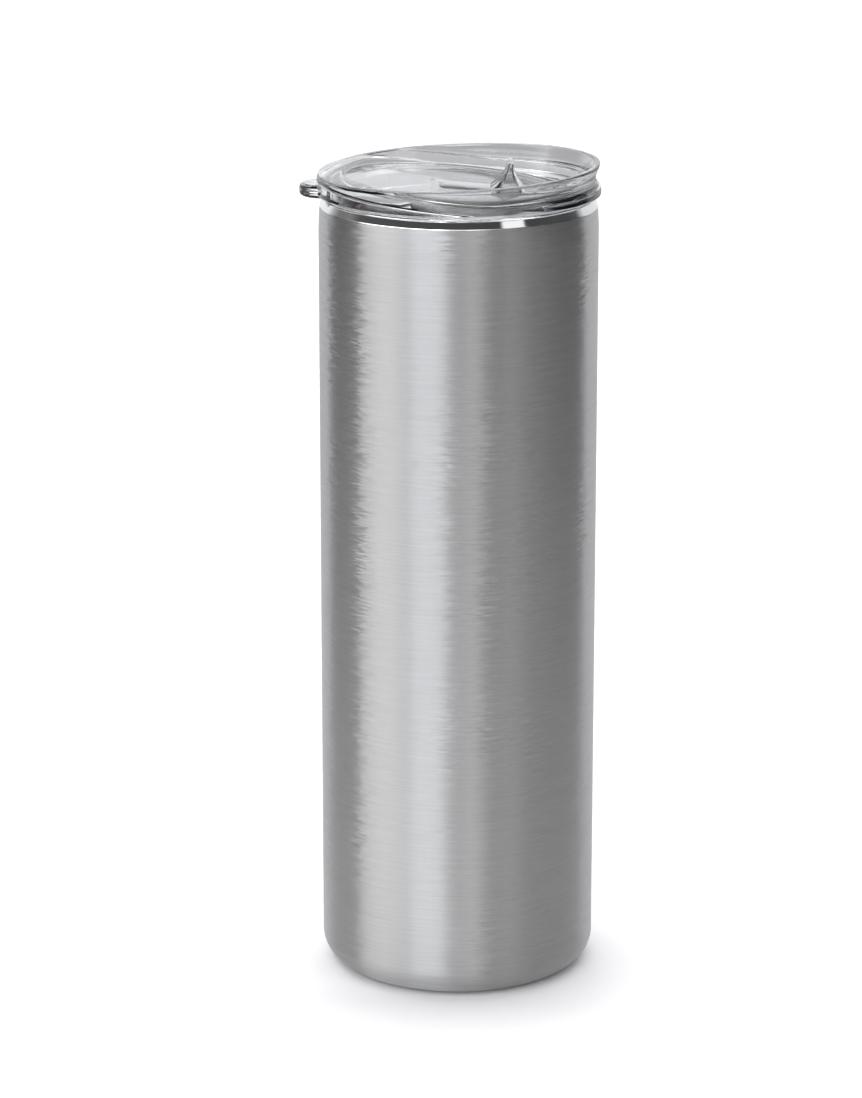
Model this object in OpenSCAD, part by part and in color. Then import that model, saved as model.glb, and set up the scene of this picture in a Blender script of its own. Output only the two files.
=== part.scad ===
// Vacuum-insulated steel tumbler with a clear press-in lid and a sliding mouth cover.
// Units are millimetres. Z is up, the origin is the centre of the standing ring on the table,
// the drinking side of the lid faces +X and its pull tab faces -X.

/* [Cup] */
// Outside diameter of the straight wall
cup_d = 73; // [70:0.5:78]
// Height from the table to the top of the lip
cup_h = 209.1; // [180:0.1:230]
// Outside radius of the bottom corner
corner_r = 7.6; // [6.5:0.1:9]
// Thickness of the pressed steel
steel = 0.5; // [0.4:0.05:0.6]
// Width of the vacuum gap along the straight wall
vacuum_gap = 3.2; // [2.6:0.1:4]
// Distance from the outside wall to the inside of the mouth
lip_w = 2.7; // [2.5:0.1:3]
// Depth of the wide part of the mouth that takes the lid
neck_depth = 18; // [16:0.5:24]
// Height of the drinking floor above the table
floor_z = 10; // [9:0.5:14]

/* [Lid] */
// Height of the rim above the flange, measured on the axis
rim_h = 7.45; // [7:0.05:8.5]
// Rise of the rim towards the drinking side, in degrees
rim_tilt = 2.4; // [2:0.1:3.4]
// Height of the deck above the flange, measured on the axis
deck_h = 2.4; // [1.8:0.05:2.5]
// Fall of the deck towards the drinking side, in degrees
deck_tilt = 5; // [4:0.1:5]
// Depth of the plug that goes into the cup
plug_h = 13.5; // [12:0.5:15]
// Reach of the pull tab beyond the lid's own edge
tab_reach = 4.4; // [3:0.2:8]
// Width of the pull tab
tab_w = 13; // [10:0.5:18]

/* [Slider] */
// Travel of the mouth cover from closed to open
travel = 13; // [10:0.5:13]
// Height of the thumb ridge above the deck
ridge_h = 7.7; // [6:0.1:9]
// Width of the thumb ridge across the lid
ridge_w = 12.7; // [10:0.1:12.7]

/* [Hidden] */
$fn = 96;
big = 120; // side of the blocks that trim the lid
skin = 0.01; // overshoot of a cutting shape past the face that it opens

// Cup
cup_r = cup_d / 2;
neck_in = 0.3; // how far the wall draws in below the lip
neck_in_h = 7; // height of the stretch that draws in
lip_out_r = cup_r - neck_in;
mouth_r = cup_r - lip_w;
lip_slant = 26.5; // how far the lip's outer face leans inwards, in degrees
lip_crest_r = 0.8; // radius over the top of the lip
lip_foot_r = 0.6; // radius where its outer face leaves the wall
lip_h = lip_crest_r + (lip_foot_r - lip_crest_r
    + cos(lip_slant) * (lip_out_r - mouth_r - lip_crest_r - lip_foot_r)) / sin(lip_slant);
seam_z = cup_h - lip_h; // where the shell meets the liner
bore_r = cup_r - vacuum_gap - 2 * steel;
step_h = 4; // height of the step from the bore to the mouth
neck_z = cup_h - neck_depth;
floor_r = 6; // outside radius of the inner bottom's corner
weld_z = floor_z + floor_r + 0.5;
ring_r = cup_r - corner_r; // outside radius of the standing ring
hem_r = ring_r - 2.3;
hem_h = 3.6;
hem_corner = 1.2;
pan_z = 1; // underside of the outer base
dimple_r = 5;
dimple_h = 1.6;
port_r = 1.2; // evacuation port
cover_t = 0.5;
foil_t = 0.15;
foil_clear = 0.05;
tray_x = 14;
tray_r = 6;
tray_h = 2.2;
tray_t = 0.3;

// Lid
seat_gap = 0.1;
lid_z = cup_h + seat_gap; // the underside of the flange
flange_r = cup_r + 0.5;
flange_corner = 0.6;
flange_top_r = flange_r - 0.6;
relief_h = 0.7; // the flange sits on an inner ring, and its underside is stepped up outside that
relief_r = mouth_r + 1.1;
relief_slope = 0.3;
plug_r = mouth_r - 0.6;
plug_wall = 2.2;
deck_t = 1.8;
groove_z = -7.6;
groove_h = 3.2;
groove_depth = 1;
gasket_clear = 0.15;
lip_peak_h = 0.7; // half the height of a gasket lip
tab_t = 3.4;
tab_corner = tab_w / 2 - 0.1; // the tab ends in a half circle
heel_h = 1.75; // height of the thick heel's top above the flange, measured on the axis
heel_tilt = 11; // its fall towards the drinking side, in degrees
recess_r = 31.6; // the deck's own outline, set off centre so that the heel is wide at the tab side
recess_x = 1.6;

// Swoop: the flange's top edge is low at the drinking side and climbs to the rim at the back
swoop_low = 2.7;
swoop_slope = 0.135;
swoop_start = 6.5;
swoop_blend = 6;
swoop_step = 3;

// Slider and its track, in the deck's own frame: X runs down the deck, Z = 0 is its top face
slider_back = 8.2;
slider_front = 29.2;
slider_proud = 0.6;
slider_half = 6.35;
foot_half = 7.5;
foot_low = -2.05;
foot_top = -1.35;
slider_corner = 4;
track_clear = 0.25;
track_lip = -1.2; // underside of the lips that hold the slider down
track_low = -2.2;
track_floor = 1.5;
track_side = 1.6;
ridge_x = 12.8;
ridge_top = 0.65; // half the thickness at the top of the ridge
ridge_spread = 3.95; // what the flare adds to it at the foot
ridge_power = 2.2;
ridge_steps = 10;
mouth_x = 24.4;
mouth_slot_r = 3.1;
mouth_half = 3.6;
vent_x = 6.2;
vent_r = 1.2;

// Points along an arc, from angle a0 to a1
function arc(centre, r, a0, a1, n = 8) =
    [for (i = [0:n]) let (a = a0 + (a1 - a0) * i / n) centre + r * [cos(a), sin(a)]];

function last(list) = list[len(list) - 1];

// Radius lost t of the way up the drawn-in stretch below the lip
function draw_in(t) = neck_in * t * t;

function shoulder(offset, up, n = 5) =
    [for (i = [0:n]) let (t = up ? i / n : 1 - i / n)
        [cup_r - draw_in(t) - offset, seam_z - neck_in_h * (1 - t)]];

function swoop(x) =
    let (d = swoop_start - x) swoop_low + swoop_slope / 2 * (d + sqrt(d * d + swoop_blend * swoop_blend));

// Half thickness of the thumb ridge, h below its top
function ridge_half(h, total) = ridge_top + ridge_spread * pow(h / total, ridge_power);

function rounded_plan(x0, x1, half, r) = concat(
    arc([x1 - r, half - r], r, 90, 0), arc([x1 - r, r - half], r, 0, -90),
    arc([x0 + r, r - half], r, -90, -180), arc([x0 + r, half - r], r, 180, 90));

// Outside of the lid above its flange: a concave waist for the lips, then the flared rim
waist = [
    [flange_r - 0.15, 2.3], [flange_r - 0.9, 3.5], [cup_r - 1, 4.6],
    [cup_r - 0.88, 5.8], [cup_r - 0.5, 7.4], [cup_r + 0.1, 9.4], [cup_r + 0.4, 10.6],
];

// Inside of the lid, from under the deck's low end up past the rim
bowl = [
    [plug_r - 1.7, -2], [plug_r - 1.5, 0], [plug_r - 0.8, 1.6], [mouth_r - 0.6, 3],
    [mouth_r + 0.1, 4.6], [mouth_r + 0.6, 6.2], [mouth_r + 1.3, 8.6], [mouth_r + 1.9, 10.7],
];

module outer_shell() {
    hem_centre = [hem_r + hem_corner, hem_corner];
    color("silver")
    rotate_extrude()
    polygon(concat(
        [[hem_r, hem_h]],
        arc(hem_centre, hem_corner, 180, 270, 5),
        arc([ring_r, corner_r], corner_r, 270, 360, 12),
        shoulder(0, true),
        shoulder(steel, false),
        arc([ring_r, corner_r], corner_r - steel, 360, 270, 12),
        arc(hem_centre, hem_corner - steel, 270, 180, 5),
        [[hem_r + steel, hem_h]]));
}

module inner_liner() {
    foot = [lip_out_r - lip_foot_r, seam_z];
    crest = [mouth_r + lip_crest_r, cup_h - lip_crest_r];
    color("gainsboro")
    rotate_extrude()
    polygon(concat(
        arc(foot, lip_foot_r, 0, lip_slant, 5),
        arc(crest, lip_crest_r, lip_slant, 180, 12),
        [[mouth_r, neck_z], [bore_r, neck_z - step_h], [bore_r, weld_z], [bore_r + steel, weld_z],
            [bore_r + steel, neck_z - step_h], [mouth_r + steel, neck_z]],
        arc(crest, lip_crest_r - steel, 180, lip_slant, 12),
        arc(foot, lip_foot_r - steel, lip_slant, 0, 5)));
}

module inner_bottom() {
    corner = [bore_r + steel - floor_r, floor_z - steel + floor_r];
    color("lightgray")
    rotate_extrude()
    polygon(concat(
        [[0, floor_z - steel]],
        arc(corner, floor_r, 270, 360),
        [[bore_r + steel, weld_z], [bore_r, weld_z]],
        arc(corner, floor_r - steel, 360, 270),
        [[0, floor_z]]));
}

module copper_foil() {
    inside = bore_r + steel + foil_clear;
    low = weld_z + 2;
    color("peru")
    translate([0, 0, low])
    difference() {
        cylinder(r = inside + foil_t, h = neck_z - step_h - low - 2);
        translate([0, 0, -1]) cylinder(r = inside, h = cup_h);
    }
}

module outer_base() {
    rim_corner = 1;
    color("darkgray")
    rotate_extrude()
    polygon([
        [port_r, pan_z + dimple_h], [dimple_r - 1, pan_z + dimple_h], [dimple_r, pan_z],
        [hem_r - rim_corner, pan_z], [hem_r, pan_z + rim_corner], [hem_r, hem_h],
        [hem_r - steel, hem_h], [hem_r - steel, pan_z + rim_corner + 0.2],
        [hem_r - rim_corner - 0.2, pan_z + steel], [dimple_r + 0.3, pan_z + steel],
        [dimple_r - 0.7, pan_z + dimple_h + steel], [port_r, pan_z + dimple_h + steel],
    ]);
}

module base_cover() {
    r = hem_r - 1.1;
    low = pan_z - cover_t;
    bead = 0.15; // depth of the pressed ring
    color("silver")
    rotate_extrude()
    polygon([
        [0, low], [r * 0.72, low], [r * 0.74, low + bead], [r * 0.78, low + bead],
        [r * 0.8, low], [r - 0.2, low], [r, low + 0.2], [r, pan_z], [0, pan_z],
    ]);
}

module vacuum_seal() {
    bead_h = 0.9;
    color("darkolivegreen")
    rotate_extrude()
    polygon([
        [0, pan_z + dimple_h - bead_h], [1.8, pan_z + dimple_h - bead_h],
        [2.8, pan_z + dimple_h - 0.5], [3, pan_z + dimple_h], [port_r, pan_z + dimple_h],
        [port_r, pan_z + dimple_h + steel], [0, pan_z + dimple_h + steel],
    ]);
}

module getter_tray() {
    color("gray")
    translate([tray_x, 0, pan_z + steel])
    difference() {
        cylinder(r = tray_r, h = tray_h);
        translate([0, 0, tray_t]) cylinder(r = tray_r - tray_t, h = tray_h);
    }
}

module getter() {
    color("dimgray")
    translate([tray_x, 0, pan_z + steel + tray_t])
    cylinder(r = tray_r - tray_t - 0.1, h = tray_h - tray_t - 0.4);
}

// Places its children in the deck's own frame
module on_deck() {
    translate([0, 0, lid_z + deck_h]) rotate([0, deck_tilt, 0]) children();
}

// A block that fills everything above (side = 1) or below (side = -1) a tilted plane in the lid's frame
module half_space(height, tilt, side) {
    translate([0, 0, height]) rotate([0, tilt, 0])
    translate([-big / 2, -big / 2, side > 0 ? 0 : -big]) cube(big);
}

module flange_ring() {
    rotate_extrude()
    polygon(concat(
        [[plug_r - 1, 0], [relief_r, 0], [relief_r + relief_slope, relief_h]],
        arc([flange_r - flange_corner, relief_h + flange_corner], flange_corner, 270, 360, 5),
        [[flange_top_r, 9], [plug_r - 1, 9]]));
}

module under_swoop() {
    rotate([90, 0, 0]) linear_extrude(big, center = true)
    polygon(concat(
        [[-big / 2, -1], [big / 2, -1]],
        [for (x = [42:-swoop_step:-42]) [x, swoop(x)]],
        [[-big / 2, swoop(-big / 2)]]));
}

module lid_outside() {
    rotate_extrude()
    polygon(concat(
        [[0, -plug_h], [plug_r - 0.8, -plug_h], [plug_r, -plug_h + 1.5], [plug_r, relief_h + 0.2],
            [cup_r - 1, relief_h + 0.2]],
        waist,
        [[0, last(waist)[1]]]));
    intersection() {
        flange_ring();
        under_swoop();
    }
    linear_extrude(tab_t)
    polygon(rounded_plan(-flange_r - tab_reach, tab_corner * 2 - flange_r, tab_w / 2, tab_corner));
}

module lid_bowl() {
    intersection() {
        rotate_extrude() polygon(concat([[0, bowl[0][1]]], bowl, [[0, last(bowl)[1] + 1]]));
        half_space(deck_h, deck_tilt, 1);
        union() {
            half_space(heel_h, heel_tilt, 1);
            translate([recess_x, 0, bowl[0][1]]) cylinder(r = recess_r, h = 2 * rim_h);
        }
    }
}

module plug_hollow() {
    intersection() {
        translate([0, 0, -plug_h - 1]) cylinder(r = plug_r - plug_wall, h = plug_h + deck_h + 5);
        half_space(deck_h - deck_t, deck_tilt, -1);
    }
}

module gasket_groove() {
    translate([0, 0, groove_z])
    difference() {
        cylinder(r = plug_r + 1, h = groove_h);
        translate([0, 0, -1]) cylinder(r = plug_r - groove_depth, h = groove_h + 2);
    }
}

// The block under the deck that carries the slider's track
module track_block() {
    half = foot_half + track_clear + track_side;
    on_deck()
    translate([slider_back - travel - 2.5, -half, track_low - track_floor])
    cube([slider_front - slider_back + travel + 2.5 + track_clear, 2 * half, 2.5]);
}

module track_cut() {
    back = slider_back - travel - track_clear;
    front = slider_front + track_clear;
    on_deck() {
        translate([0, 0, track_lip]) linear_extrude(4)
        polygon(rounded_plan(back, front, slider_half + track_clear, slider_corner));
        translate([0, 0, track_low]) linear_extrude(track_lip - track_low + skin)
        polygon(rounded_plan(back, front, foot_half + track_clear, slider_corner));
        translate([mouth_x, 0, -8]) linear_extrude(7) {
            square([2 * mouth_slot_r, 2 * mouth_half], center = true);
            for (side = [-1, 1]) translate([0, side * mouth_half]) circle(r = mouth_slot_r);
        }
        translate([vent_x, 0, -8]) cylinder(r = vent_r, h = 7);
    }
}

module lid_body() {
    color("aliceblue", 0.4)
    difference() {
        union() {
            translate([0, 0, lid_z])
            difference() {
                intersection() {
                    lid_outside();
                    half_space(rim_h, -rim_tilt, -1);
                }
                lid_bowl();
                plug_hollow();
                gasket_groove();
            }
            track_block();
        }
        track_cut();
    }
}

module lid_gasket() {
    back = plug_r - groove_depth;
    band = plug_r - 0.3;
    tip = mouth_r - gasket_clear;
    color("white", 0.6)
    translate([0, 0, lid_z + groove_z])
    rotate_extrude()
    polygon(concat(
        [[back, 0.1], [band, 0.1]],
        [for (lip = [0.9, 2.3]) each [
            [band, lip - lip_peak_h + 0.1], [tip, lip - 0.15], [tip, lip + 0.15], [band, lip + lip_peak_h - 0.1]]],
        [[band, groove_h - 0.1], [back, groove_h - 0.1]]));
}

module thumb_ridge() {
    total = ridge_h - slider_proud;
    steps = [for (i = [0:ridge_steps]) total * i / ridge_steps];
    translate([ridge_x, 0, ridge_h]) rotate([90, 0, 0]) linear_extrude(ridge_w, center = true)
    polygon(concat(
        [for (h = steps) [ridge_half(h, total), -h]],
        [[ridge_top + ridge_spread, -total - 0.5], [-ridge_top - ridge_spread, -total - 0.5]],
        [for (i = [ridge_steps:-1:0]) [-ridge_half(steps[i], total), -steps[i]]]));
}

module slider() {
    color("azure", 0.5)
    on_deck()
    difference() {
        union() {
            translate([0, 0, foot_top - skin]) linear_extrude(slider_proud - foot_top + skin)
            polygon(rounded_plan(slider_back, slider_front, slider_half, slider_corner));
            translate([0, 0, foot_low]) linear_extrude(foot_top - foot_low)
            polygon(rounded_plan(slider_back, slider_front, foot_half, slider_corner));
            thumb_ridge();
        }
        translate([vent_x + travel, 0, -5]) cylinder(r = vent_r, h = 10);
    }
}

outer_shell();
inner_liner();
inner_bottom();
copper_foil();
outer_base();
base_cover();
vacuum_seal();
getter_tray();
getter();
lid_body();
lid_gasket();
slider();
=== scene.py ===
import math

import bmesh
import bpy
from mathutils import Matrix, Vector


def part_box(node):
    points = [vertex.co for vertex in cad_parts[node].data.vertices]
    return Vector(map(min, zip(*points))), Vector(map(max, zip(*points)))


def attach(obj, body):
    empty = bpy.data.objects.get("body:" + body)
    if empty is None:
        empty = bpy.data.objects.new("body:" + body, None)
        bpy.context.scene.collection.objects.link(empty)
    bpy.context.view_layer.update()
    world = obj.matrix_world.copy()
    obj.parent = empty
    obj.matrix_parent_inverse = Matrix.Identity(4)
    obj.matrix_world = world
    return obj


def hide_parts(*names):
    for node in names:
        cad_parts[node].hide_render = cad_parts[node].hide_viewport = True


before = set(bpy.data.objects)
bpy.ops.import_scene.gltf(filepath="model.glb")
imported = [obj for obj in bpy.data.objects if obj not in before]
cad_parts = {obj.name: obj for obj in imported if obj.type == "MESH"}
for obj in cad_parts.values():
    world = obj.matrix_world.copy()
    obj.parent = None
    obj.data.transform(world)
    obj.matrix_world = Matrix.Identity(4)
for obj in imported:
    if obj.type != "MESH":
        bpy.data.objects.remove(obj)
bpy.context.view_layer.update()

MM = 0.001

# --- Driving sizes, in millimetres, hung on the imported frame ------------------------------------
# Heights on the lid are counted from the underside of its flange, at LID_Z.

LID_LOW, LID_HIGH = (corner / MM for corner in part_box("lid_body"))
CUP_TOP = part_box("inner_liner")[1].z / MM
SEAM_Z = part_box("outer_shell")[1].z / MM
SEAT_GAP = 0.1  # from the lip up to the flange
LID_Z = CUP_TOP + SEAT_GAP

# Base ring and flange
FLANGE_R = LID_HIGH.x
FLANGE_T = 0.9  # height of the flange's straight side
RELIEF_R, RELIEF_H = 34.9, 0.7  # outside this the flange's underside is stepped up
RELIEF_SLOPE = 0.3  # width of the slope up that step
RING_DRAFT = 0.12  # how far the base ring leans in
SWOOP_X = 6.5  # where the ring's top edge begins to climb towards the tab
SWOOP_LOW = 2.7  # its height on the drinking side
SWOOP_SLOPE, SWOOP_BEND = 0.0675, 6  # half its slope at the tab side, and how softly the climb begins

# Waist and rim
RIM_R = FLANGE_R - 0.4
RIM_H = 7.45  # height of the rim above the cup's axis
RIM_SLOPE = math.tan(math.radians(2.4))
RIM_BAND = 0.35  # straight band of the rim above the waist
RIM_EDGE = 0.75
RIM_LEAST = 0.9  # least height from the base ring to the rim
WAIST_FOOT_IN = 0.15  # how far inside the flange's edge the waist begins
WAIST_DEPTH = 1.3
WAIST_REACH = 2.2  # how fast the waist deepens as it gets taller
WAIST_STEPS = 30

# Bowl, heel and deck
BOWL_R, BOWL_SLANT = 31.9, 0.38  # the wall's radius at height 0, and how much it grows per mm of height
BOWL_STEPS = 16
HEEL_H = 1.75  # height of the heel's slope, carried on to the cup's axis
HEEL_SLOPE = math.tan(math.radians(11))
DECK_H = 2.4  # height of the deck at the cup's axis
DECK_TILT = math.radians(5)
DECK_T = 1.8
RECESS_R = 31.6  # edge of the deck, where its step up to the heel stands
RECESS_X = 1.6  # how far that circle's centre lies towards the mouth
HAIR = 0.01  # keeps two points of a section apart

# Plug
PLUG_R = 33.2
PLUG_IN_R = 31.0
PLUG_LOW = LID_LOW.z - LID_Z
PLUG_LEAD_H, PLUG_LEAD_IN = 1.5, 0.8  # the tapered lead at its foot
GROOVE_LOW, GROOVE_HIGH, GROOVE_DEPTH = -7.6, -4.4, 1.0
FINE_EDGE = 0.15

# Pull tab
TAB_HALF = 6.5
TAB_T = 3.4
TAB_CORNER = 6.4
TAB_EDGE = 1.2
TAB_INNER = -33.0  # its inner end, inside the lid's wall
TAB_STEPS = 24

# Slider and its track, in the deck's own frame
TRAVEL = 13.0
SLIDER_BACK, SLIDER_FRONT = 8.2, 29.2
SLIDER_HALF, FOOT_HALF = 6.35, 7.5
SLIDER_CORNER = 4.0
SLIDER_EDGE, FOOT_EDGE = 0.25, 0.15
SLIDER_PROUD = 0.6
PLATE_SUNK = 0.3  # how deep the plate reaches into the foot
FOOT_LOW, FOOT_TOP = -2.05, -1.35
TRACK_CLEAR = 0.25
TRACK_LIP, TRACK_LOW = -1.2, -2.2
TRACK_BACK = SLIDER_BACK - TRAVEL
BLOCK_SIDE, BLOCK_BACK, BLOCK_FLOOR = 1.6, 2.5, 1.5  # how thick the block round the track is
BLOCK_TOP, BLOCK_CORNER = -1.0, 1.5
TRACK_SATIN = 0.5  # roughness of the track's walls and floor
MOUTH_X, MOUTH_R, MOUTH_HALF = 24.4, 3.1, 3.6  # the drinking slot, with round ends
VENT_X, VENT_R = 6.2, 1.2

# Thumb ridge: half sizes at its top, and how much they grow down to the plate
RIDGE_X, RIDGE_H = 12.8, 7.7
RIDGE_HALF_X, RIDGE_GROW_X = 0.65, 3.85
RIDGE_HALF_Y, RIDGE_GROW_Y = 5.2, 1.0
RIDGE_CORNER, RIDGE_GROW_CORNER = 0.55, 1.2
RIDGE_CURVE = 2.2  # above 1, most of the growth comes low down
RIDGE_EDGE_X, RIDGE_EDGE_Y, RIDGE_EDGE_Z = 0.3, 0.4, 0.12  # rounding along its top
RIDGE_SUNK = 0.5  # how deep its foot reaches into the plate
RIDGE_STEPS = 26

TURNS = 360  # steps around the lid
CORNER_POINTS = 5  # points on a rounded corner of a section
SHARP_ANGLE = math.radians(32)


# --- Surfaces of the lid, as heights over x and radii over height --------------------------------

def deck_z(x):
    return DECK_H - math.tan(DECK_TILT) * x


def rim_z(x):
    return RIM_H + RIM_SLOPE * x


def heel_z(x):
    """Top of the thick heel at the tab side, which runs down into the deck towards the drinking side."""
    return min(max(HEEL_H - HEEL_SLOPE * x, deck_z(x)), rim_z(x))


def swoop_z(x):
    """Top edge of the base ring, where the waist begins."""
    d = SWOOP_X - x
    return min(SWOOP_LOW + SWOOP_SLOPE * (d + math.hypot(d, SWOOP_BEND)), rim_z(x) - RIM_LEAST)


def bowl_r(z):
    """Radius of the inside wall above the deck."""
    return BOWL_R + BOWL_SLANT * z


def meet_bowl(height, c):
    """Radius where the bowl's wall meets the surface height(x), at the angle whose cosine is c."""
    radius = BOWL_R
    for _ in range(9):
        radius = bowl_r(height(radius * c))
    return radius


# --- Mesh helpers --------------------------------------------------------------------------------

def lerp(a, b, t):
    return a + (b - a) * t


def smooth_step(t):
    t = min(max(t, 0), 1)
    return t * t * (3 - 2 * t)


def rounded(corners):
    """A polyline through (x, y, radius) corners, each one rounded unless its radius is 0."""
    points = []
    for i, (x, y, radius) in enumerate(corners):
        here = Vector((x, y))
        if radius <= 0 or i in (0, len(corners) - 1):
            points.append(here)
            continue
        before = Vector(corners[i - 1][:2]) - here
        after = Vector(corners[i + 1][:2]) - here
        reach = min(radius, before.length * 0.45, after.length * 0.45)
        start = here + before.normalized() * reach
        end = here + after.normalized() * reach
        for k in range(CORNER_POINTS):
            t = k / (CORNER_POINTS - 1)
            points.append(start * (1 - t) ** 2 + here * 2 * t * (1 - t) + end * t * t)
    return points


def new_object(name, bm):
    """Turns a bmesh in millimetres into an object in metres."""
    bmesh.ops.remove_doubles(bm, verts=bm.verts, dist=0.002)
    bmesh.ops.dissolve_degenerate(bm, dist=0.0005, edges=bm.edges)
    bmesh.ops.recalc_face_normals(bm, faces=bm.faces)
    bmesh.ops.scale(bm, vec=(MM, MM, MM), verts=bm.verts)
    mesh = bpy.data.meshes.new(name)
    bm.to_mesh(mesh)
    bm.free()
    obj = bpy.data.objects.new(name, mesh)
    bpy.context.collection.objects.link(obj)
    return obj


def shade(obj):
    """Smooth faces, with the real edges kept sharp."""
    obj.data.shade_smooth()
    obj.data.set_sharp_from_angle(angle=SHARP_ANGLE)


def revolve(profile_at):
    """Spins profile_at(angle), a list of (r, z) that starts and ends on the axis, round Z."""
    bm = bmesh.new()
    rings = []
    for i in range(TURNS):
        angle = 2 * math.pi * i / TURNS
        rings.append([
            bm.verts.new((r * math.cos(angle), r * math.sin(angle), z)) for r, z in profile_at(angle)
        ])
    for i in range(TURNS):
        here, there = rings[i], rings[(i + 1) % TURNS]
        for k in range(len(here) - 1):
            bm.faces.new((here[k], here[k + 1], there[k + 1], there[k]))
    return bm


def rounded_plan(x0, x1, half, corner, steps=10):
    """Outline of a rectangle from x0 to x1 and half to each side, with round corners."""
    centres = [(x1 - corner, half - corner, 90), (x1 - corner, corner - half, 0),
               (x0 + corner, corner - half, -90), (x0 + corner, half - corner, -180)]
    points = []
    for cx, cy, start in centres:
        for k in range(steps + 1):
            a = math.radians(start - 90 * k / steps)
            points.append((cx + corner * math.cos(a), cy + corner * math.sin(a)))
    return points


def inset(points, amount):
    """Moves each point of a closed convex outline inwards."""
    moved = []
    count = len(points)
    for i, (x, y) in enumerate(points):
        before, after = Vector(points[i - 1]), Vector(points[(i + 1) % count])
        along = (after - before).normalized()
        moved.append((x + along.y * amount, y - along.x * amount))
    return moved


def stack(layers):
    """A closed solid through a list of (outline, z) layers that have the same number of points."""
    bm = bmesh.new()
    rings = [[bm.verts.new((x, y, z)) for x, y in outline] for outline, z in layers]
    for low, high in zip(rings, rings[1:]):
        for i in range(len(low)):
            j = (i + 1) % len(low)
            bm.faces.new((low[i], low[j], high[j], high[i]))
    bm.faces.new(list(reversed(rings[0])))
    bm.faces.new(rings[-1])
    return bm


def slab(outline, low, high, edge=0.0, steps=4):
    """A plate with rounded top and bottom edges."""
    if edge <= 0:
        return stack([(outline, low), (outline, high)])
    layers = []
    for k in range(steps + 1):
        a = math.pi / 2 * k / steps
        layers.append((inset(outline, edge * (1 - math.sin(a))), low + edge * (1 - math.cos(a))))
    for k in range(steps + 1):
        a = math.pi / 2 * k / steps
        layers.append((inset(outline, edge * (1 - math.cos(a))), high - edge * (1 - math.sin(a))))
    return stack(layers)


def well(x, half, radius, low, high):
    """A straight cutter with round ends, centred at x: a slot across the deck, or a round hole."""
    return slab(rounded_plan(x - radius, x + radius, half + radius, radius - HAIR), low, high)


def deck_frame():
    """The deck's own frame: X runs down the deck, Z = 0 is its top face."""
    return Matrix.Translation((0, 0, LID_Z + DECK_H)) @ Matrix.Rotation(DECK_TILT, 4, "Y")


def combine(target, tool_mesh, operation, name, matrix=Matrix.Identity(4)):
    """Applies one boolean to target and throws the tool away."""
    bmesh.ops.transform(tool_mesh, matrix=matrix, verts=tool_mesh.verts)
    tool = new_object(name, tool_mesh)
    modifier = target.modifiers.new(name, "BOOLEAN")
    modifier.operation = operation
    modifier.solver = "EXACT"
    modifier.object = tool
    result = bpy.data.meshes.new_from_object(
        target.evaluated_get(bpy.context.evaluated_depsgraph_get()))
    target.modifiers.clear()
    target.data = result
    bpy.data.objects.remove(tool)


# --- Lid body --------------------------------------------------------------------------------------
# Each point of a section is (radius, height, corner radius).

def deck_and_bowl(angle):
    """From the middle of the deck, up its step and over the heel, then up the bowl's wall to the rim."""
    c = math.cos(angle)
    recess = RECESS_X * c + math.sqrt(RECESS_R ** 2 - (RECESS_X * math.sin(angle)) ** 2)
    wall, rim_in = meet_bowl(heel_z, c), meet_bowl(rim_z, c)
    low, high = heel_z(wall * c), rim_z(rim_in * c)
    deck_r = min(recess, wall - HAIR)
    points = [(deck_r * f, deck_z(deck_r * f * c), 0) for f in (0, 0.3, 0.6, 0.8, 0.9)]
    points += [
        (deck_r, deck_z(deck_r * c), 0.7),
        (deck_r + HAIR, heel_z(deck_r * c), 0.45),
        (wall, low, 1.3),
    ]
    for k in range(1, BOWL_STEPS):
        z = lerp(low, high, k / BOWL_STEPS)
        points.append((bowl_r(z), z, 0))
    points.append((rim_in, high, RIM_EDGE))
    return points


def waist(angle, low, high):
    """Between the base ring and the rim: a concave band that deepens as it gets taller."""
    depth = WAIST_DEPTH * (1 - math.exp(-max(high - low - RIM_LEAST, 0) / WAIST_REACH))
    mouth = smooth_step((math.cos(angle) - 0.2) / 0.7)  # 1 at the drinking side, 0 past the middle
    skew = lerp(0.62, 0.72, mouth)  # below 1, the deepest place lies low in the band
    softness = lerp(0.9, 1.5, mouth)  # above 1, the band eases into its two edges
    points = []
    for k in range(1, WAIST_STEPS):
        t = k / WAIST_STEPS
        dip = depth * math.sin(math.pi * t ** skew) ** softness
        points.append((lerp(FLANGE_R - WAIST_FOOT_IN, RIM_R, t) - dip, lerp(low, high, t), 0))
    return points


def rim_to_plug(angle):
    """From the rim's outer edge down the waist and the base ring, then in under the flange."""
    c = math.cos(angle)
    low, high = swoop_z(FLANGE_R * c), rim_z(RIM_R * c)
    return [
        (RIM_R, high, RIM_EDGE),
        *reversed(waist(angle, low, high - RIM_BAND)),
        (FLANGE_R - RING_DRAFT, low, 0.3),
        (FLANGE_R, RELIEF_H + FLANGE_T, 0.3),
        (FLANGE_R, RELIEF_H, 0.55),
        (RELIEF_R + RELIEF_SLOPE, RELIEF_H, FINE_EDGE),
        (RELIEF_R, 0, FINE_EDGE),
        (PLUG_R, 0, 0.3),
    ]


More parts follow.
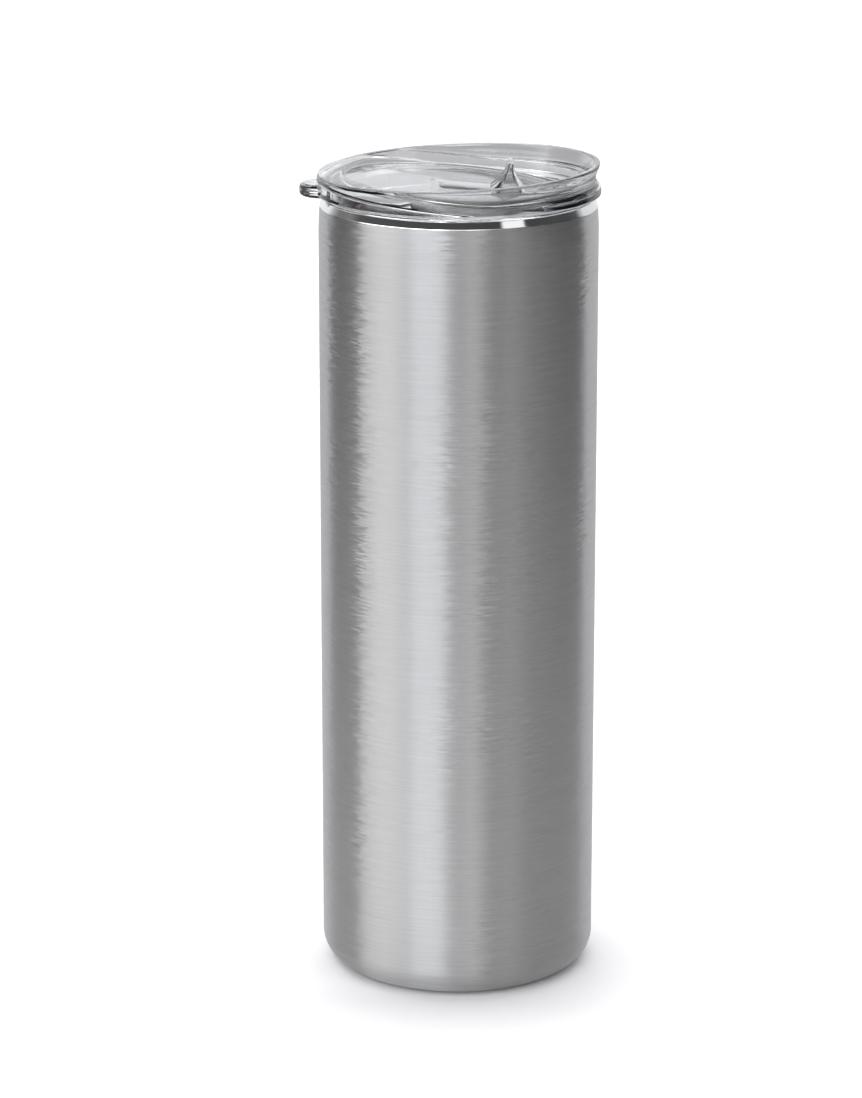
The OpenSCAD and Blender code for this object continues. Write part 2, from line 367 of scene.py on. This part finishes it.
def plug_and_underside(angle):
    """Down the plug past the gasket's groove, up inside it, and in along the deck's underside."""
    c = math.cos(angle)
    groove_r = PLUG_R - GROOVE_DEPTH
    points = [
        (PLUG_R, GROOVE_HIGH, 0.2),
        (groove_r, GROOVE_HIGH, FINE_EDGE),
        (groove_r, GROOVE_LOW, FINE_EDGE),
        (PLUG_R, GROOVE_LOW, 0.2),
        (PLUG_R, PLUG_LOW + PLUG_LEAD_H, 0.6),
        (PLUG_R - PLUG_LEAD_IN, PLUG_LOW, 0.5),
        (PLUG_IN_R, PLUG_LOW, 0.4),
        (PLUG_IN_R, deck_z(PLUG_IN_R * c) - DECK_T, 0.8),
    ]
    points += [(PLUG_IN_R * f, deck_z(PLUG_IN_R * f * c) - DECK_T, 0) for f in (0.9, 0.6, 0.3, 0)]
    return points


def lid_profile(angle):
    """Half section of the lid at one angle, from the middle of the deck, over the rim and back under."""
    corners = deck_and_bowl(angle) + rim_to_plug(angle) + plug_and_underside(angle)
    return [(p.x, p.y + LID_Z) for p in rounded(corners)]


def pull_tab():
    """A plate with a round outer end and a square inner end, which lies inside the lid's wall."""
    outline = rounded_plan(LID_LOW.x, 0, TAB_HALF, TAB_CORNER, TAB_STEPS)
    round_end = outline[len(outline) // 2:]
    square_end = [(TAB_INNER, TAB_HALF), (TAB_INNER, -TAB_HALF)]
    return slab(square_end + round_end, LID_Z, LID_Z + TAB_T, TAB_EDGE, 9)


def track_cuts():
    """The slider's undercut track, the drinking slot and the vent hole."""
    back, front = TRACK_BACK - TRACK_CLEAR, SLIDER_FRONT + TRACK_CLEAR
    upper = rounded_plan(back, front, SLIDER_HALF + TRACK_CLEAR, SLIDER_CORNER)
    lower = rounded_plan(back, front, FOOT_HALF + TRACK_CLEAR, SLIDER_CORNER)
    below, inside, above = -8, -1, 3  # where the cutters end, clear of the faces that they open
    return [
        slab(upper, TRACK_LIP, above),
        slab(lower, TRACK_LOW, TRACK_LIP + HAIR),
        well(MOUTH_X, MOUTH_HALF, MOUTH_R, below, inside),
        well(VENT_X, 0, VENT_R, below, inside),
    ]


def build_lid():
    lid = new_object("lid_clear", revolve(lid_profile))
    combine(lid, pull_tab(), "UNION", "tab")
    half = FOOT_HALF + TRACK_CLEAR + BLOCK_SIDE
    plan = rounded_plan(TRACK_BACK - BLOCK_BACK, SLIDER_FRONT + TRACK_CLEAR, half, BLOCK_CORNER, 6)
    combine(lid, slab(plan, TRACK_LOW - BLOCK_FLOOR, BLOCK_TOP), "UNION", "track_block", deck_frame())
    for i, cut in enumerate(track_cuts()):
        combine(lid, cut, "DIFFERENCE", f"cut_{i}", deck_frame())
    shade(lid)
    return lid


def finish_lid(lid, clear, satin):
    """Clear all over, but satin inside the slider's track."""
    lid.data.materials.clear()
    lid.data.materials.append(clear)
    lid.data.materials.append(satin)
    to_deck = deck_frame().inverted()
    back, front = TRACK_BACK - 2 * TRACK_CLEAR, SLIDER_FRONT + 2 * TRACK_CLEAR
    margin = 0.05
    half = FOOT_HALF + TRACK_CLEAR + margin
    low, high = TRACK_LOW - 2 * margin, -0.03  # just under the track's floor and just under the deck's face
    for face in lid.data.polygons:
        x, y, z = to_deck @ (face.center / MM)
        in_track = back < x < front and abs(y) < half and low < z < high
        face.material_index = 1 if in_track else 0


# --- Slider ----------------------------------------------------------------------------------------

def ridge():
    """The thumb ridge: thin at the top, flaring into the plate on all sides."""
    top_x, top_y = RIDGE_HALF_X - RIDGE_EDGE_X, RIDGE_HALF_Y - RIDGE_EDGE_Y
    top = rounded_plan(RIDGE_X - top_x, RIDGE_X + top_x, top_y, top_x - 2 * HAIR)
    layers = [(top, RIDGE_H)]
    total = RIDGE_H - SLIDER_PROUD
    for k in range(RIDGE_STEPS + 1):
        spread = (k / RIDGE_STEPS) ** RIDGE_CURVE
        half_x = RIDGE_HALF_X + RIDGE_GROW_X * spread
        half_y = RIDGE_HALF_Y + RIDGE_GROW_Y * spread
        corner = min(half_x - 2 * HAIR, RIDGE_CORNER + RIDGE_GROW_CORNER * spread)
        z = RIDGE_H - total * (k / RIDGE_STEPS)
        if k == 0:
            half_x -= RIDGE_EDGE_Z
            z -= RIDGE_EDGE_Z
        layers.append((rounded_plan(RIDGE_X - half_x, RIDGE_X + half_x, half_y, corner), z))
    layers.append((layers[-1][0], SLIDER_PROUD - RIDGE_SUNK))
    return stack(list(reversed(layers)))


def build_slider():
    plate = rounded_plan(SLIDER_BACK, SLIDER_FRONT, SLIDER_HALF, SLIDER_CORNER, 12)
    foot = rounded_plan(SLIDER_BACK, SLIDER_FRONT, FOOT_HALF, SLIDER_CORNER, 12)
    body = slab(plate, FOOT_TOP - PLATE_SUNK, SLIDER_PROUD, SLIDER_EDGE)
    bmesh.ops.transform(body, matrix=deck_frame(), verts=body.verts)
    slider = new_object("slider_clear", body)
    combine(slider, slab(foot, FOOT_LOW, FOOT_TOP, FOOT_EDGE), "UNION", "foot", deck_frame())
    combine(slider, ridge(), "UNION", "ridge", deck_frame())
    past = 5  # past both faces of the slider
    vent = well(VENT_X + TRAVEL, 0, VENT_R, -past, past)
    combine(slider, vent, "DIFFERENCE", "slider_vent", deck_frame())
    shade(slider)
    return slider


# --- Node trees --------------------------------------------------------------------------------------

class Graph:
    """The node tree of a material or a world, with short calls for the nodes used here."""

    def __init__(self, owner):
        self.owner = owner
        self.owner.use_nodes = True
        self.tree = owner.node_tree

    def node(self, kind, **values):
        made = self.tree.nodes.new(kind)
        for key, value in values.items():
            setattr(made, key, value)
        return made

    def put(self, socket, value):
        if isinstance(value, bpy.types.NodeSocket):
            self.tree.links.new(value, socket)
        else:
            socket.default_value = value

    def set(self, **values):
        """Sets inputs of the material's shader."""
        shader = self.tree.nodes["Principled BSDF"]
        for key, value in values.items():
            self.put(shader.inputs[key.replace("_", " ")], value)

    def point(self, scale=(1, 1, 1)):
        coordinates = self.node("ShaderNodeTexCoord")
        mapping = self.node("ShaderNodeMapping")
        mapping.inputs["Scale"].default_value = scale
        self.put(mapping.inputs["Vector"], coordinates.outputs["Object"])
        return mapping.outputs["Vector"]

    def split(self, vector):
        made = self.node("ShaderNodeSeparateXYZ")
        self.put(made.inputs[0], vector)
        return made.outputs

    def noise(self, scale, vector, detail=3.0, roughness=0.5):
        made = self.node("ShaderNodeTexNoise")
        self.put(made.inputs["Vector"], vector)
        made.inputs["Scale"].default_value = scale
        made.inputs["Detail"].default_value = detail
        made.inputs["Roughness"].default_value = roughness
        return made.outputs["Fac"]

    def math(self, operation, a, b):
        made = self.node("ShaderNodeMath", operation=operation)
        self.put(made.inputs[0], a)
        self.put(made.inputs[1], b)
        return made.outputs[0]

    def remap(self, value, low, high, to_low, to_high, kind="LINEAR"):
        made = self.node("ShaderNodeMapRange", interpolation_type=kind)
        for key, number in zip(("From Min", "From Max", "To Min", "To Max"), (low, high, to_low, to_high)):
            made.inputs[key].default_value = number
        self.put(made.inputs["Value"], value)
        return made.outputs["Result"]

    def ease(self, value, low, high):
        """0 below low and 1 above high, with a soft climb between."""
        return self.remap(value, low, high, 0, 1, "SMOOTHSTEP")

    def mix(self, factor, a, b, kind="RGBA"):
        made = self.node("ShaderNodeMix", data_type=kind)
        self.put(made.inputs["Factor"], factor)
        self.put(made.inputs["A"], a)
        self.put(made.inputs["B"], b)
        return made.outputs["Result"]

    def vector(self, operation, a, b=None):
        made = self.node("ShaderNodeVectorMath", operation=operation)
        self.put(made.inputs[0], a)
        if b is not None:
            self.put(made.inputs["Scale" if operation == "SCALE" else 1], b)
        return made.outputs["Value" if operation == "LENGTH" else "Vector"]

    def tip(self, normal, direction, amount):
        """Tips the normal a little along a direction."""
        return self.vector("NORMALIZE", self.vector("ADD", normal, self.vector("SCALE", direction, amount)))

    def bump(self, height, distance):
        made = self.node("ShaderNodeBump")
        made.inputs["Strength"].default_value = 1.0
        made.inputs["Distance"].default_value = distance
        self.put(made.inputs["Height"], height)
        return made.outputs["Normal"]


def new_material(name):
    return Graph(bpy.data.materials.new(name))


def grey(level, blue=0.0):
    """A colour with the same red and green, and a little more blue."""
    return (level, level, level + blue, 1)


def shaded(colour, factor):
    return [min(c * factor, 1) for c in colour] + [1]


# --- Materials ---------------------------------------------------------------------------------------

def brushed_steel(name, colour, roughness, anisotropy, depth, sway):
    """Steel brushed around the cup: streaks lie level, so highlights stretch up and down."""
    g = new_material(name)
    fine = g.noise(1.0, g.point((60, 60, 5200)), 4, 0.6)
    coarse = g.noise(1.0, g.point((60, 60, 1700)), 3, 0.55)
    tone = g.math("ADD", g.math("MULTIPLY", fine, 0.55), g.math("MULTIPLY", coarse, 0.45))
    cloud = g.noise(9.0, g.point((1, 1, 0.35)), 2)
    streaky = g.remap(coarse, 0.3, 0.7, roughness - 0.03, roughness + 0.03)
    cloudy = g.remap(cloud, 0.3, 0.7, -0.015, 0.015)
    # Short level scratches that turn the surface a little, stronger in some patches than in others
    around = g.node("ShaderNodeTangent", direction_type="RADIAL", axis="Z").outputs["Tangent"]
    crinkle = g.noise(1.0, g.point((240, 240, 2500)), 2, 0.6)
    patches = g.remap(g.noise(1.0, g.point((25, 25, 45)), 2), 0.35, 0.65, 0.3, 1.0)
    turned = g.math("MULTIPLY", g.remap(crinkle, 0.3, 0.7, -sway, sway), patches)
    g.set(
        Base_Color=g.mix(g.remap(tone, 0.35, 0.65, 0, 1), shaded(colour, 0.9), shaded(colour, 1.08)),
        Metallic=1.0,
        Roughness=g.math("ADD", streaky, cloudy),
        Anisotropic=anisotropy,
        Anisotropic_Rotation=0.25,
        Tangent=around,
        Normal=g.tip(g.bump(tone, depth), around, turned),
    )
    return g.owner


def clear_plastic(name, satin=0.0):
    g = new_material(name)
    flow = g.noise(55.0, g.point(), 2)
    haze = g.noise(900.0, g.point((1, 1, 0.4)), 3)
    g.set(
        Base_Color=(0.875, 0.88, 0.89, 1),
        Transmission_Weight=1.0,
        IOR=1.52,
        Roughness=g.remap(haze, 0.45, 0.75, satin, satin + 0.05),
        Normal=g.bump(flow, 0.00003),
    )
    return g.owner


def silicone(name):
    g = new_material(name)
    dust = g.noise(1500.0, g.point(), 4)
    g.set(
        Base_Color=g.mix(dust, (0.80, 0.82, 0.83, 1), (0.90, 0.91, 0.91, 1)),
        Roughness=g.remap(dust, 0.3, 0.7, 0.42, 0.55),
        Subsurface_Weight=0.25,
        Subsurface_Scale=0.002,
        Normal=g.bump(dust, 0.00001),
    )
    return g.owner


def liner_steel(name, seam):
    """The liner: polished where it rolls over into the lip, satin down the inside."""
    g = new_material(name)
    lip = g.remap(g.split(g.point())["Z"], seam - 3 * MM, seam - MM, 0, 1)
    grain = g.noise(1.0, g.point((80, 80, 3200)), 3)
    satin = g.remap(grain, 0.3, 0.7, 0.46, 0.58)
    polish = g.remap(g.noise(220.0, g.point(), 3), 0.3, 0.7, 0.05, 0.1)
    g.set(
        Base_Color=g.mix(grain, (0.78, 0.785, 0.79, 1), (0.86, 0.865, 0.87, 1)),
        Metallic=1.0,
        Roughness=g.mix(lip, satin, polish, "FLOAT"),
        Normal=g.bump(grain, 0.000004),
    )
    return g.owner


def metal(name, colour, roughness, scale, depth):
    g = new_material(name)
    grain = g.noise(scale, g.point(), 5)
    g.set(
        Base_Color=g.mix(grain, shaded(colour, 0.85), shaded(colour, 1)),
        Metallic=1.0,
        Roughness=g.remap(grain, 0.3, 0.7, roughness - 0.06, roughness + 0.06),
        Normal=g.bump(grain, depth),
    )
    return g.owner


def powder(name, colour, roughness, scale, depth):
    g = new_material(name)
    grain = g.noise(scale, g.point(), 6, 0.65)
    g.set(
        Base_Color=g.mix(grain, shaded(colour, 0.6), shaded(colour, 1)),
        Roughness=g.remap(grain, 0.3, 0.7, roughness - 0.1, roughness + 0.1),
        Normal=g.bump(grain, depth),
    )
    return g.owner


def finish_nodes():
    """Gives every CAD node that still shows its material."""
    wall = brushed_steel("wall_brushed_steel", (0.52, 0.52, 0.525), 0.38, 1.0, 0.000001, 0.075)
    liner = liner_steel("liner_polished_steel", SEAM_Z * MM)
    plain = metal("plain_steel_satin", (0.62, 0.62, 0.63), 0.34, 900, 0.000004)
    looks = {
        "outer_shell": wall,
        "inner_liner": liner,
        "inner_bottom": liner,
        "copper_foil": metal("copper_foil_bright", (0.86, 0.45, 0.32), 0.22, 400, 0.00002),
        "outer_base": plain,
        "base_cover": plain,
        "vacuum_seal": powder("seal_bead", (0.16, 0.18, 0.1), 0.3, 700, 0.00002),
        "getter_tray": plain,
        "getter": powder("getter_powder", (0.22, 0.22, 0.23), 0.8, 2500, 0.00005),
        "lid_gasket": silicone("gasket_silicone"),
    }
    for node, material in looks.items():
        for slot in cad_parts[node].material_slots:
            slot.material = material


# --- Studio --------------------------------------------------------------------------------------------

# What stands round the cup, by compass bearing: 0 is behind the camera, -90 at the cup's left and 180
# behind the cup. Each stop is (bearing in degrees, brightness, tint).
PLAIN, COOL, WARM = (1, 1, 1), (0.98, 0.995, 1.02), (1.025, 1.0, 0.975)
SIDES = [
    (-180, 1.25, COOL), (-168, 1.25, COOL), (-160, 1.0, COOL), (-138, 0.95, COOL), (-130, 0.45, COOL),
    (-122, 0.2, PLAIN), (-112, 0.2, WARM), (-100, 0.35, WARM), (-92, 0.5, WARM), (-86, 2.6, PLAIN),
    (-66, 3.7, PLAIN), (-50, 3.6, PLAIN), (-42, 3.2, COOL), (-36, 4.7, COOL), (-14, 4.7, COOL),
    (-6, 2.2, COOL), (3, 2.0, PLAIN), (10, 2.7, WARM), (18, 2.0, WARM), (26, 0.85, WARM),
    (40, 0.42, WARM), (52, 0.12, PLAIN), (100, 0.05, COOL), (118, 0.1, COOL), (128, 0.8, COOL),
    (160, 0.9, COOL), (168, 1.25, COOL), (180, 1.25, COOL),
]
BELOW = [
    (-180, 0.85, PLAIN), (-136, 0.85, PLAIN), (-126, 0.1, PLAIN), (122, 0.1, PLAIN), (132, 0.85, PLAIN),
]
ABOVE = [
    (-180, 0.85, PLAIN), (-172, 0.85, PLAIN), (-164, 0.1, PLAIN), (40, 0.06, PLAIN), (42, 1.1, PLAIN),
    (61, 1.1, PLAIN), (63, 0.06, PLAIN), (164, 0.1, PLAIN), (172, 0.85, PLAIN), (180, 0.85, PLAIN),
]
# Where one list gives way to the next, as the z of a direction of length 1
FLOOR_LINE, SHELF_LINE = (-0.1, -0.02), (0.34, 0.44)
ROOF_LIGHT = 2.4  # a soft box overhead, behind the cup
ROOF_LINE, ROOF_FRONT = (0.74, 0.8), (-0.02, 0.06)  # where it begins, as z and as y
SEEN = 1.05  # what the camera sees behind everything
TOP_LEVEL = 5.0  # the brightness that a full ramp colour stands for


def build_world():
    """The studio: a bright sweep behind the cup, a window at its left, and darkness at its right."""
    g = Graph(bpy.data.worlds.new("studio"))
    bpy.context.scene.world = g.owner
    x, y, z = g.split(g.node("ShaderNodeTexCoord").outputs["Generated"])
    bearing = g.math("ARCTAN2", x, g.math("MULTIPLY", y, -1))
    turn = g.math("ADD", g.math("DIVIDE", bearing, 2 * math.pi), 0.5)

    def around(stops):
        made = g.node("ShaderNodeValToRGB")
        g.put(made.inputs[0], turn)
        elements = made.color_ramp.elements
        elements.remove(elements[-1])
        for i, (degrees, level, tint) in enumerate(stops):
            place = (degrees + 180) / 360
            element = elements[0] if i == 0 else elements.new(place)
            element.position = place
            element.color = [level * t / TOP_LEVEL for t in tint] + [1]
        return made.outputs["Color"]

    low_and_side = g.mix(g.ease(z, *FLOOR_LINE), around(BELOW), around(SIDES))
    all_round = g.mix(g.ease(z, *SHELF_LINE), low_and_side, around(ABOVE))
    over = g.math("MULTIPLY", g.ease(z, *ROOF_LINE), g.ease(y, *ROOF_FRONT))
    room = g.tree.nodes["Background"]
    g.put(room.inputs["Color"], g.mix(over, all_round, grey(ROOF_LIGHT / TOP_LEVEL)))
    g.put(room.inputs["Strength"], TOP_LEVEL)
    white = g.node("ShaderNodeBackground")
    g.put(white.inputs["Color"], grey(1))
    g.put(white.inputs["Strength"], SEEN)
    chosen = g.node("ShaderNodeMixShader")
    g.put(chosen.inputs[0], g.node("ShaderNodeLightPath").outputs["Is Camera Ray"])
    g.put(chosen.inputs[1], room.outputs[0])
    g.put(chosen.inputs[2], white.outputs[0])
    g.put(g.tree.nodes["World Output"].inputs["Surface"], chosen.outputs[0])


# The paper's front edge is outside the view. From here on, sizes are in metres.
PAPER_FRONT, PAPER_SIDE, PAPER_BACK = -0.32, 0.5, 1.5
PAINTED_FADE_START, PAINTED_FADE_END = 0.3, 0.7  # painted shade: how far behind the cup the paper falls to grey in reflections
# Distances from the cup's axis
PAINTED_LIGHT_FULL, PAINTED_LIGHT_NONE = 0.03, 0.1  # painted light: the paper's colour is brighter for reflections close to the cup
PAINTED_SHADE_FROM, PAINTED_SHADE_TO = 0.037, 0.06  # painted shade: the paper that the camera sees gets brighter from here to there
PAINTED_SHADOW_FULL, PAINTED_SHADOW_END = 0.03, 0.0345  # painted shadow: the dark line under the cup's bottom corner


def floor_paper():
    """White paper, with painted light and shade: a painted shadow under the cup's bottom corner, painted
    shade round the cup's foot for the camera, and for reflections a painted pool of light near the cup and
    a painted fall to grey far behind it. What the camera sees of it is brighter than what it gives to
    reflections.
    """
    g = new_material("floor_paper")
    grain = g.noise(600.0, g.point(), 2)
    reflected = g.mix(grain, (0.95, 0.95, 0.955, 1), (0.98, 0.98, 0.985, 1))
    # painted shade: far behind the cup, the paper that reflections see falls to grey
    behind = g.remap(g.split(g.point())["Y"], PAINTED_FADE_START, PAINTED_FADE_END, 0, 1)
    reflected = g.mix(behind, reflected, grey(0.6, 0.01))
    reach = g.vector("LENGTH", g.point())
    # painted light: close to the cup, the paper that reflections see is brighter than white
    painted_light = g.remap(reach, PAINTED_LIGHT_FULL, PAINTED_LIGHT_NONE, 1, 0)
    reflected = g.mix(painted_light, reflected, grey(1.1, 0.01))
    seen = g.mix(grain, grey(1.42, 0.02), grey(1.47, 0.02))
    # painted shade: near the cup the paper that the camera sees is darker
    seen = g.mix(g.remap(reach, PAINTED_SHADE_FROM, PAINTED_SHADE_TO, 0, 1), seen, grey(1.64, 0.01))
    paper = g.mix(g.node("ShaderNodeLightPath").outputs["Is Camera Ray"], reflected, seen)
    # painted shadow: dark grey under the cup and just round its bottom corner, for all rays
    past_painted_shadow = g.remap(reach, PAINTED_SHADOW_FULL, PAINTED_SHADOW_END, 0, 1)
    g.set(Base_Color=g.mix(past_painted_shadow, grey(0.5), paper), Roughness=0.95, Specular_IOR_Level=0.0)
    return g.owner


def build_floor():
    bm = bmesh.new()
    corners = [(-PAPER_SIDE, PAPER_FRONT), (PAPER_SIDE, PAPER_FRONT),
               (PAPER_SIDE, PAPER_BACK), (-PAPER_SIDE, PAPER_BACK)]
    bm.faces.new([bm.verts.new((x, y, 0)) for x, y in corners])
    mesh = bpy.data.meshes.new("floor")
    bm.to_mesh(mesh)
    bm.free()
    mesh.materials.append(floor_paper())
    floor = bpy.data.objects.new("floor", mesh)
    bpy.context.collection.objects.link(floor)


CAMERA_AT = (-0.0072, -1.028, 0.398)
CAMERA_DOWN = 15.452  # degrees below level
CAMERA_LENS, CAMERA_SENSOR = 131.5, 36


def build_camera():
    camera = bpy.data.objects.new("camera", bpy.data.cameras.new("camera"))
    camera.data.lens = CAMERA_LENS
    camera.data.sensor_width = CAMERA_SENSOR
    camera.data.clip_start = 0.01
    camera.location = CAMERA_AT
    camera.rotation_euler = (math.radians(90 - CAMERA_DOWN), 0, 0)
    bpy.context.collection.objects.link(camera)
    bpy.context.scene.camera = camera


# --- The scene -----------------------------------------------------------------------------------------

build_camera()
plastic = clear_plastic("clear_plastic")

lid = build_lid()
finish_lid(lid, plastic, clear_plastic("satin_plastic", TRACK_SATIN))
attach(lid, "lid")
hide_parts("lid_body")

slider = build_slider()
slider.data.materials.clear()
slider.data.materials.append(plastic)
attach(slider, "slider")
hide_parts("slider")

finish_nodes()
build_world()
build_floor()
bpy.context.scene.view_settings.view_transform = "Standard"
